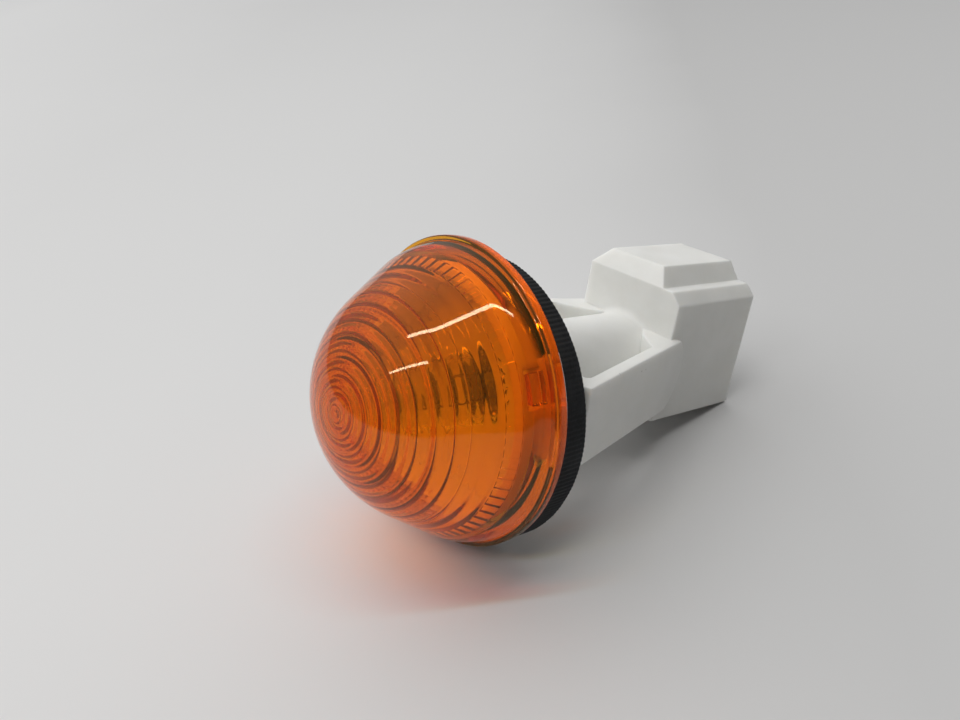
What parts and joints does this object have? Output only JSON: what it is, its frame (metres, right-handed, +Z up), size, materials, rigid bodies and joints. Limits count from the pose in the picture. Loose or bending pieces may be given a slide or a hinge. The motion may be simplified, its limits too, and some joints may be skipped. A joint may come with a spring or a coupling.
{
  "type": "vehicle indicator lamp",
  "caption": "Round indicator lamp with a domed amber lens, black foam gasket, white housing with bulb tube and slanted side wings, and a blade connector at the rear.",
  "frame": {"origin": "on the lamp axis in the panel face, which is the rear face of the gasket", "axes": "-Y out of the lens along the lamp axis, +Y to the connector, +X to the lamp's right seen from behind, +Z up as in the picture, towards the key ridge of the connector"},
  "size_m": [0.046, 0.0792, 0.0464],
  "materials": {
    "lens_amber": "clear amber, polished outside, ringed inside",
    "foam_black": "matte closed-cell foam, die-cut edge",
    "housing_white": "fine satin moulded",
    "bulb_glass": "clear",
    "filament_metal": "dull coiled wire",
    "lead_metal": "drawn wire",
    "contact_brass": "stamped strip, satin"
  },
  "bodies": {
    "root": {"lens": "lens_amber", "gasket": "foam_black", "housing": "housing_white", "bulb_glass": "bulb_glass", "bulb_filament": "filament_metal", "bulb_lead_left": "lead_metal", "bulb_lead_right": "lead_metal", "contact_left": "contact_brass", "contact_right": "contact_brass"}
  },
  "joints": []
}
